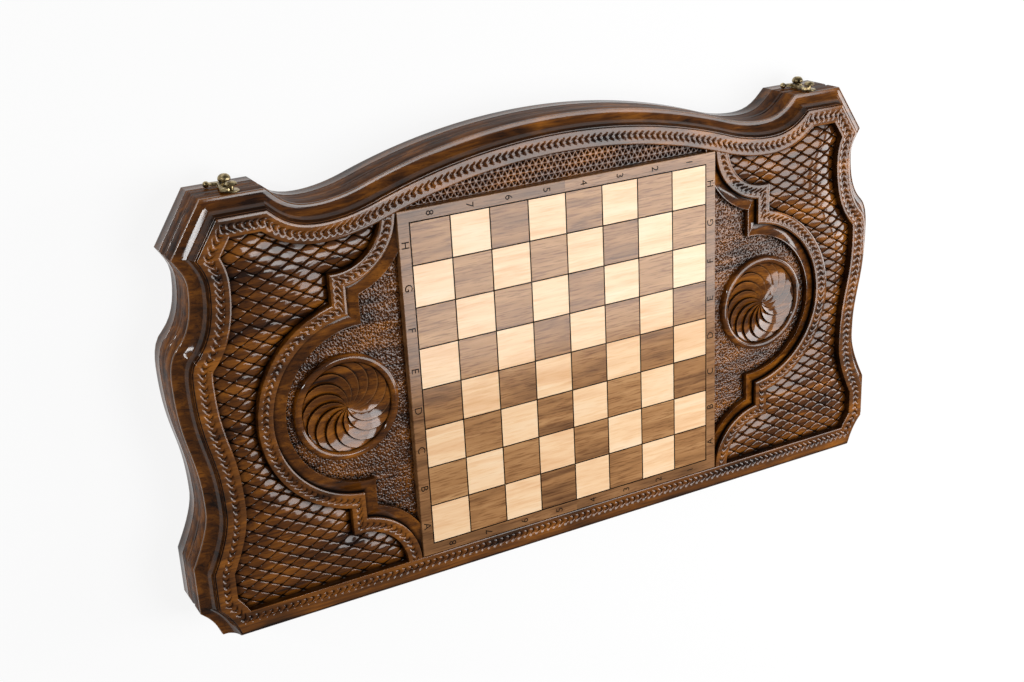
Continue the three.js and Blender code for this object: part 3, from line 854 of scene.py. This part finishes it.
def rosetteRows():
    dish, radius, floor = rosette["dish"], rosette["radius"], rosette["floor"]
    rows = []
    for step in range(rosette["dishSteps"] + 1):
        share = step / rosette["dishSteps"]
        rows.append((dish * share, floor + (rosette["hub"] - floor) * (1 - share) ** 1.4, True))
    half = (radius - dish) / 2
    for step in range(1, rosette["rimSteps"]):
        turn = math.pi * step / rosette["rimSteps"]
        height = floor + (rosette["rim"] - floor) * math.sin(turn) ** 0.7
        rows.append((dish + half * (1 - math.cos(turn)), height, False))
    skirt = rosette["skirt"]
    return rows + [(radius, rosette["rimFoot"], False), (radius, skirt, False), (0, skirt, False)]


def whirlRosette(side):
    rows = rosetteRows()
    cuts = rosette["cuts"]
    count = len(cuts)
    middleX = side * (panelHalf + rosette["reach"])

    def place(column, row):
        radius, height, bladed = rows[row]
        phase = cuts[column % count]
        angle = 2 * math.pi * (column // count + phase) / rosette["blades"]
        share = min(1.0, radius / rosette["dish"])
        relief = 0.85
        if bladed:
            angle += math.asin(min(1.0, radius / rosette["curl"]))
            swell = rosette["blade"] * min(1.0, share * 2.6) * (1 - 0.35 * share)
            lift = (1 - phase) ** 0.8 - 0.5
            height += swell * lift
            # Painted shade at the foot of each blade and at the dish edge, and a painted highlight along each
            # blade's crest
            relief = min(0.87, 3.2 * (1 - phase)) + 0.13 * max(0.0, 1 - phase / 0.12)
            relief = 0.15 if share == 1 else relief
        else:
            angle += math.asin(min(1.0, rosette["dish"] / rosette["curl"]))
        return (middleX + radius * math.cos(angle), panelMiddle + radius * math.sin(angle),
                height - ground["depth"], relief)

    return gridSheet(rosette["blades"] * count, len(rows) - 1, place)


# Chessboard panel: squares parted by burnt lines, inside a lettered margin
chess = {"count": 8, "line": 0.48, "lineDeep": 0.45, "bevel": 0.35, "sink": 0.05,
         "thick": 5.4, "glyph": 8.3, "glyphDeep": 0.3, "proud": 0.03, "sharp": 30}
chessWoods = [lightSquare, darkSquare, burntLine, marginWood]
lineIndex, marginIndex = 2, 3


def panelLines(half, field):
    lines = [-half, -half + chess["bevel"]]
    for step in range(chess["count"] + 1):
        at = -field + step * squareSize
        lines += [at - chess["line"], at, at + chess["line"]]
    return lines + [half - chess["bevel"], half]


def chessPanel():
    field = chess["count"] / 2 * squareSize
    lines = panelLines(panelHalf, field)
    grooves = {3 + 3 * step for step in range(chess["count"] + 1)}
    last = len(lines) - 1

    def place(column, row):
        x, y = lines[column], lines[row]
        framed = field + chess["line"] / 2
        cut = (column in grooves and abs(y) < framed) or (row in grooves and abs(x) < framed)
        outer = column in (0, last) or row in (0, last)
        drop = chess["lineDeep"] if cut else chess["bevel"] if outer else 0.0
        return x, y + panelMiddle, -chess["sink"] - drop, 1.0

    bm = gridSheet(last, last, place)
    for face in bm.faces:
        middle = face.calc_center_median()
        across, up = middle.x + field, middle.y - panelMiddle + field
        inField = 0 < across < 2 * field and 0 < up < 2 * field
        offs = [abs(at - squareSize * round(at / squareSize)) for at in (across, up)]
        onLine = inField and min(offs) < chess["line"]
        onEdge = min(abs(abs(across - field) - field), abs(abs(up - field) - field)) < chess["line"]
        framed = max(abs(across - field), abs(up - field)) < field + chess["line"]
        if onLine or (onEdge and framed):
            face.material_index = lineIndex
        elif inField:
            face.material_index = int(across // squareSize + up // squareSize) % 2
        else:
            face.material_index = marginIndex
    closeBelow(bm, -chess["thick"])
    for face in bm.faces:
        if abs(face.normal.z) < 0.3 and face.calc_center_median().z < -1:
            face.material_index = marginIndex
    return bm


def chessMarks():
    bm = bmesh.new()
    count = chess["count"]
    margin = (panelHalf + count / 2 * squareSize) / 2
    depth = chess["sink"] + chess["glyphDeep"] / 2 - chess["proud"]
    marks = []
    for index in range(count):
        at = (index - (count - 1) / 2) * squareSize
        for side in (-1, 1):
            marks.append((str(count - index), at, side * margin, -side))
            marks.append(("ABCDEFGH"[index], side * margin, at, side))
    for word, x, y, turn in marks:
        curve = bpy.data.curves.new("mark", "FONT")
        curve.body = word
        curve.size = chess["glyph"]
        curve.extrude = chess["glyphDeep"] / 2
        curve.align_x, curve.align_y = "CENTER", "CENTER"
        curve.resolution_u = 3
        text = bpy.data.objects.new("mark", curve)
        shape = text.to_mesh()
        shape.transform(Matrix.Translation((x, y + panelMiddle, -depth))
                        @ Matrix.Rotation(turn * math.pi / 2, 4, "Z"))
        bm.from_mesh(shape)
        bpy.data.objects.remove(text)
        bpy.data.curves.remove(curve)
    return bm


# Flat closed outlines, cut by straight lines and raised between two depths
def clipOutline(points, axis, limit, above):
    kept = []
    for a, b in zip(points, points[1:] + points[:1]):
        inside = [p[axis] >= limit if above else p[axis] <= limit for p in (a, b)]
        if inside[0]:
            kept.append(a)
        if inside[0] != inside[1]:
            kept.append(a.lerp(b, (limit - a[axis]) / (b[axis] - a[axis])))
    return kept


def extruded(bm, corners, offset):
    face = bm.faces.new([bm.verts.new(c) for c in corners])
    made = bmesh.ops.extrude_face_region(bm, geom=[face])["geom"]
    lifted = [g for g in made if isinstance(g, bmesh.types.BMVert)]
    bmesh.ops.translate(bm, verts=lifted, vec=offset)
    return lifted


def roundRims(bm, rims, size, segments):
    bmesh.ops.bevel(bm, geom=rims, offset=size, offset_type="OFFSET", affect="EDGES", segments=segments,
                    profile=0.5, material=-1)


def raised(points, low, high, bevel=0.0, rounded=0.0, keep=None):
    bm = bmesh.new()
    relief = bm.verts.layers.float.new("relief")
    extruded(bm, [(p.x, p.y, -low) for p in points], (0, 0, low - high))
    for size, level, segments in ((bevel, low, 2), (rounded, high, 4)):
        rims = [e for e in bm.edges if all(abs(v.co.z + level) < 1e-4 for v in e.verts)
                and not (keep and keep(*(v.co for v in e.verts)))]
        if size:
            roundRims(bm, rims, size, segments)
    for vert in bm.verts:
        above = high + vert.co.z
        vert[relief] = 0.95 if 0.05 * rounded < above < 0.95 * rounded else 0.5
    return bm


rail = {"foot": 15.0, "glue": 0.05, "bevel": 0.25, "along": 4.0, "rounded": {"lid": 1.2, "base": 3.0},
        "sharp": 30}


def addRails(half):
    low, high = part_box(f"{half}_clasp_rail")
    boardFace = boardHigh.z if half == "lid" else baseFace
    depths = sorted(abs(boardFace - z) / milli for z in (low.z, high.z))
    full = closedEdge(edge["mould"] - rail["glue"], 0, rail["along"])[:-1]
    trayTop = (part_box(f"{half}_left_rail")[1].y - hingeEdge) / milli + rail["glue"]
    trayHalf = -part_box(f"{half}_left_rail")[1].x / milli
    footEnd, sideEnd = rail["foot"] + rail["glue"], trayTop - rail["glue"]
    between = clipOutline(clipOutline(full, 1, footEnd, True), 1, sideEnd, False)
    shapes = {
        "clasp_rail": clipOutline(full, 1, trayTop, True),
        "left_rail": clipOutline(between, 0, -trayHalf, False),
        "right_rail": clipOutline(between, 0, trayHalf, True),
    }
    cuts = ((1, footEnd), (1, trayTop), (1, sideEnd), (0, trayHalf))

    def inner(a, b):
        return any(abs(abs(a[axis]) - at) < 0.02 and abs(abs(b[axis]) - at) < 0.02 for axis, at in cuts)

    for name, points in shapes.items():
        flipped = [xy(-p.x, p.y) for p in points] if half == "base" else points
        bm = raised(flipped, depths[0], depths[1], rail["bevel"], rail["rounded"][half], inner)
        addPiece(f"{half}_{name}_wood", bm, places[half], [railWood], half, [f"{half}_{name}"],
                 rail["sharp"])


# Outer faces, each over a hidden core. The base, which is seldom seen, is carved in longer steps.
detail = {"lid": {"along": 1.0, "ground": 1.0}, "base": {"along": 2.4, "ground": 2.0}}
core = {"inset": 1.0, "along": 3.0, "lap": 0.2, "under": 0.05, "sharp": 40}


def addCarving(half, name, bm, sharp):
    addPiece(f"{half}_{name}", bm, places[half], [carvedWood], half, [f"{half}_face_board"],
             sharp)


def boardCore():
    outline = closedEdge(-core["inset"], edge["footRound"] + core["inset"], core["along"])[:-1]
    return raised(outline, border["bottom"] - core["lap"], boardThick - core["under"])


for half in places:
    along, coarse = detail[half]["along"], detail[half]["ground"]
    rows = mouldingRows() if half == "lid" else plainRows()
    addCarving(half, "board_edge", boardEdge(rows, moulding["along"] * along), moulding["sharp"])
    addCarving(half, "rope_border", ropeBorder(border["along"] * along), border["sharp"])
    addCarving(half, "board_core", boardCore(), core["sharp"])
    for side, end in ((-1, "left"), (1, "right")):
        strip = cartoucheStrip(side, cartouche["along"] * along)
        addCarving(half, f"cartouche_{end}", strip, cartouche["sharp"])
        addCarving(half, f"quilt_{end}", quiltedWing(side), quilt["sharp"])
        addCarving(half, f"ground_{end}", sideGround(side, coarse), ground["sharp"])
        addCarving(half, f"rosette_{end}", whirlRosette(side), rosette["sharp"])
    addCarving(half, "ground_arch", archGround(coarse), ground["sharp"])
    addRails(half)
    print(half, "carving done")

addPiece("lid_chess_board", chessPanel(), places["lid"], chessWoods, "lid", ["lid_chess_panel"],
         chess["sharp"])
addPiece("lid_board_marks", chessMarks(), places["lid"], [burntLine], "lid", [], chess["sharp"])
print("chessboard done")


# Clasps: turned knobs and a flat hook with a ball-ended tab, in millimetres about each pivot, Y outward
clasp = {
    "post": [(0, -2), (1.8, -2), (1.8, 0), (5.5, 0), (5.5, 0.5), (5.1, 0.95), (2.6, 1.0), (1.8, 1.15),
             (1.8, 3.75), (3.3, 3.8), (4.1, 4.3), (4.4, 5.2), (4.25, 6.2), (3.6, 7.4), (2.3, 8.4), (0, 8.8)],
    "stud": [(0, -2), (1.5, -2), (1.5, 0), (5.2, 0), (5.2, 0.45), (4.8, 0.95), (2.4, 1.0), (1.5, 1.15),
             (1.5, 3.75), (3.1, 3.8), (3.8, 4.2), (4.0, 4.8), (3.6, 5.7), (2.4, 6.5), (0, 6.8)],
    "eye": [(2.1, 0.15), (2.25, 0), (3.7, 0), (3.9, 0.2), (3.9, 1.8), (3.7, 2), (2.25, 2), (2.1, 1.85),
            (2.1, 0.15)],
    "arm": [(-4.9, -1.5), (-2.15, -1.5), (-2.15, 15.4), (-1.5, 16.2), (1.0, 16.2), (1.4, 16.8), (1.2, 18.4),
            (0.4, 19.0), (-3.6, 19.0), (-4.9, 17.8)],
    "tab": 6.0, "tabHalf": 2.2, "tabAt": -1.5, "tabSteps": 28, "tabEnd": 0.97, "ball": 2.3, "hookAt": 1.3,
    "thick": 2.0, "rim": 0.4, "turn": 12.0, "segments": 40, "sharp": 35,
}


def turned(bm, profile):
    verts = [bm.verts.new((r, h, 0)) for r, h in profile]
    edges = [bm.edges.new(pair) for pair in zip(verts, verts[1:])]
    bmesh.ops.spin(bm, geom=verts + edges, cent=(0, 0, 0), axis=(0, 1, 0), angle=2 * math.pi,
                   steps=clasp["segments"], use_merge=True)
    bmesh.ops.remove_doubles(bm, verts=bm.verts, dist=weld)


def flatPlate(bm, points):
    lifted = extruded(bm, [(x, 0, z) for x, z in points], (0, clasp["thick"], 0))
    rims = [e for e in bm.edges if all(v in lifted for v in e.verts)]
    roundRims(bm, rims, clasp["rim"], 2)


def claspHook():
    bm = bmesh.new()
    turned(bm, clasp["eye"])
    flatPlate(bm, clasp["arm"])
    tab, level = clasp["tab"], clasp["tabAt"]
    angles = [2 * math.pi * i / clasp["tabSteps"] for i in range(clasp["tabSteps"])]
    flatPlate(bm, [(tab * math.cos(a) - tab, level + clasp["tabHalf"] * math.sin(a))
                   for a in angles if abs(math.cos(a)) < clasp["tabEnd"]])
    ball = Matrix.Translation((-2 * tab, clasp["thick"] / 2, level))
    bmesh.ops.create_uvsphere(bm, u_segments=24, v_segments=14, radius=clasp["ball"], matrix=ball)
    return bm


for end in ("left", "right"):
    low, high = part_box(f"clasp_post_{end}")
    middle, pivot = (low.x + high.x) / 2, (low.z + high.z) / 2
    face = high.y - clasp["post"][-1][1] * milli
    studLow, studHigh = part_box(f"clasp_stud_{end}")
    for kind, body, height in (("post", "base", pivot), ("stud", "lid", (studLow.z + studHigh.z) / 2)):
        knob = bmesh.new()
        turned(knob, clasp[kind])
        at = Matrix.Translation((middle, face, height)) @ Matrix.Scale(milli, 4)
        addPiece(f"turned_{kind}_{end}", knob, at, [brass], body, [f"clasp_{kind}_{end}"],
                 clasp["sharp"])
    at = Matrix.Translation((middle, face + clasp["hookAt"] * milli, pivot))
    at = at @ Matrix.Rotation(-math.radians(clasp["turn"]), 4, "Y") @ Matrix.Scale(milli, 4)
    addPiece(f"hook_plate_{end}", claspHook(), at, [brass], f"hook_{end}", [f"clasp_hook_{end}"],
             clasp["sharp"])
print("clasps done")

# Pieces that need no more shape than the frame gives them take the finish of their slot
finishes = {"carved_wood": railWood, "rail_wood": railWood, "panel_wood": marginWood, "field_wood": fieldWood,
            "pale_inlay": paleInlay, "dark_inlay": darkInlay, "brass": brass}
slots = {s["node"]: s["material_slot"] for s in frame["record"]["subparts"]}
for name, node in frame["nodes"].items():
    node.data.materials.clear()
    node.data.materials.append(finishes[slots[name]])

# Camera, floor and lights
view = {"position": panelFace + Vector((-0.5013, 0.39465, 0.8584)),
        "aim": panelFace + Vector((-0.0497, 0.0205, 0)), "roll": -3.02, "lens": 50, "sensor": 36}


def addCamera():
    data = bpy.data.cameras.new("camera")
    data.lens = view["lens"]
    data.sensor_width = view["sensor"]
    camera = bpy.data.objects.new("camera", data)
    bpy.context.scene.collection.objects.link(camera)
    forward = (view["aim"] - view["position"]).normalized()
    right = forward.cross(Vector((0, 1, 0))).normalized()
    up = right.cross(forward)
    turn = math.radians(view["roll"])
    right, up = right * math.cos(turn) + up * math.sin(turn), up * math.cos(turn) - right * math.sin(turn)
    facing = Matrix((right, up, -forward)).transposed().to_4x4()
    camera.matrix_world = Matrix.Translation(view["position"]) @ facing
    bpy.context.scene.camera = camera


lamps = {
    "strip": {"at": (-1.25, 0.60, 0.75), "size": (0.09, 1.0), "power": 5.4, "aim": (0, 0, 0.03)},
    "softbox": {"at": (0.79, -0.075, 1.25), "size": (0.92, 0.95), "power": 15.5},
    "window": {"at": (0.2, 0.03, 1.25), "size": (0.25, 0.35), "power": 2.2},
    "side": {"at": (1.9, -0.2, 0.95), "size": (0.8, 0.9), "power": 17.0, "aim": (0, 0, 0.03)},
}


def addLamp(name, facts):
    data = bpy.data.lights.new(name, "AREA")
    data.shape = "RECTANGLE"
    data.size, data.size_y = facts["size"]
    data.energy = facts["power"]
    lamp = bpy.data.objects.new(name, data)
    lamp.location = facts["at"]
    if "aim" in facts:
        ray = Vector(facts["aim"]) - Vector(facts["at"])
        lamp.rotation_euler = ray.to_track_quat("-Z", "Y").to_euler()
    bpy.context.scene.collection.objects.link(lamp)


def seenRays():
    camera, glossy, through = [Wire.node("ShaderNodeLightPath", out=f"Is {kind} Ray")
                               for kind in ("Camera", "Glossy", "Transmission")]
    return camera, camera.sum("MAXIMUM", glossy).sum("MAXIMUM", through)


studio = {"floor": 12.0, "below": 0.0002, "floorGlow": 0.88, "behind": 0.84, "around": 0.16}


def addFloor():
    bm = bmesh.new()
    bmesh.ops.create_grid(bm, x_segments=4, y_segments=4, size=studio["floor"])
    mesh = bpy.data.meshes.new("floor")
    bm.to_mesh(mesh)
    bm.free()
    floor = bpy.data.objects.new("floor", mesh)
    floor.location.z = cadBox[0].z - studio["below"]
    material, shader = newMaterial("paleFloor")
    setShader(shader, {"Base Color": (0.9, 0.9, 0.9, 1), "Roughness": 0.8, "Specular IOR Level": 0.0})
    glow = Wire.node("ShaderNodeEmission", None, {"Color": (1, 1, 1, 1), "Strength": 1.0})
    camera, seen = seenRays()
    mixed = Wire.node("ShaderNodeMixShader", None, {
        0: seen * studio["floorGlow"], 1: Wire(shader.outputs[0]), 2: glow})
    joinSocket(Wire.tree.nodes["Material Output"].inputs["Surface"], mixed)
    mesh.materials.append(material)
    bpy.context.scene.collection.objects.link(floor)


def addWorld():
    world = bpy.data.worlds.new("studio")
    bpy.context.scene.world = world
    world.use_nodes = True
    Wire.tree = world.node_tree
    camera, seen = seenRays()
    setShader(world.node_tree.nodes["Background"], {
        "Color": (1, 1, 1, 1), "Strength": camera * studio["behind"] + studio["around"]})


addCamera()
for name, facts in lamps.items():
    addLamp(name, facts)
addFloor()
addWorld()
bpy.context.scene.view_settings.view_transform = "Standard"
print("camera, floor and lights set")
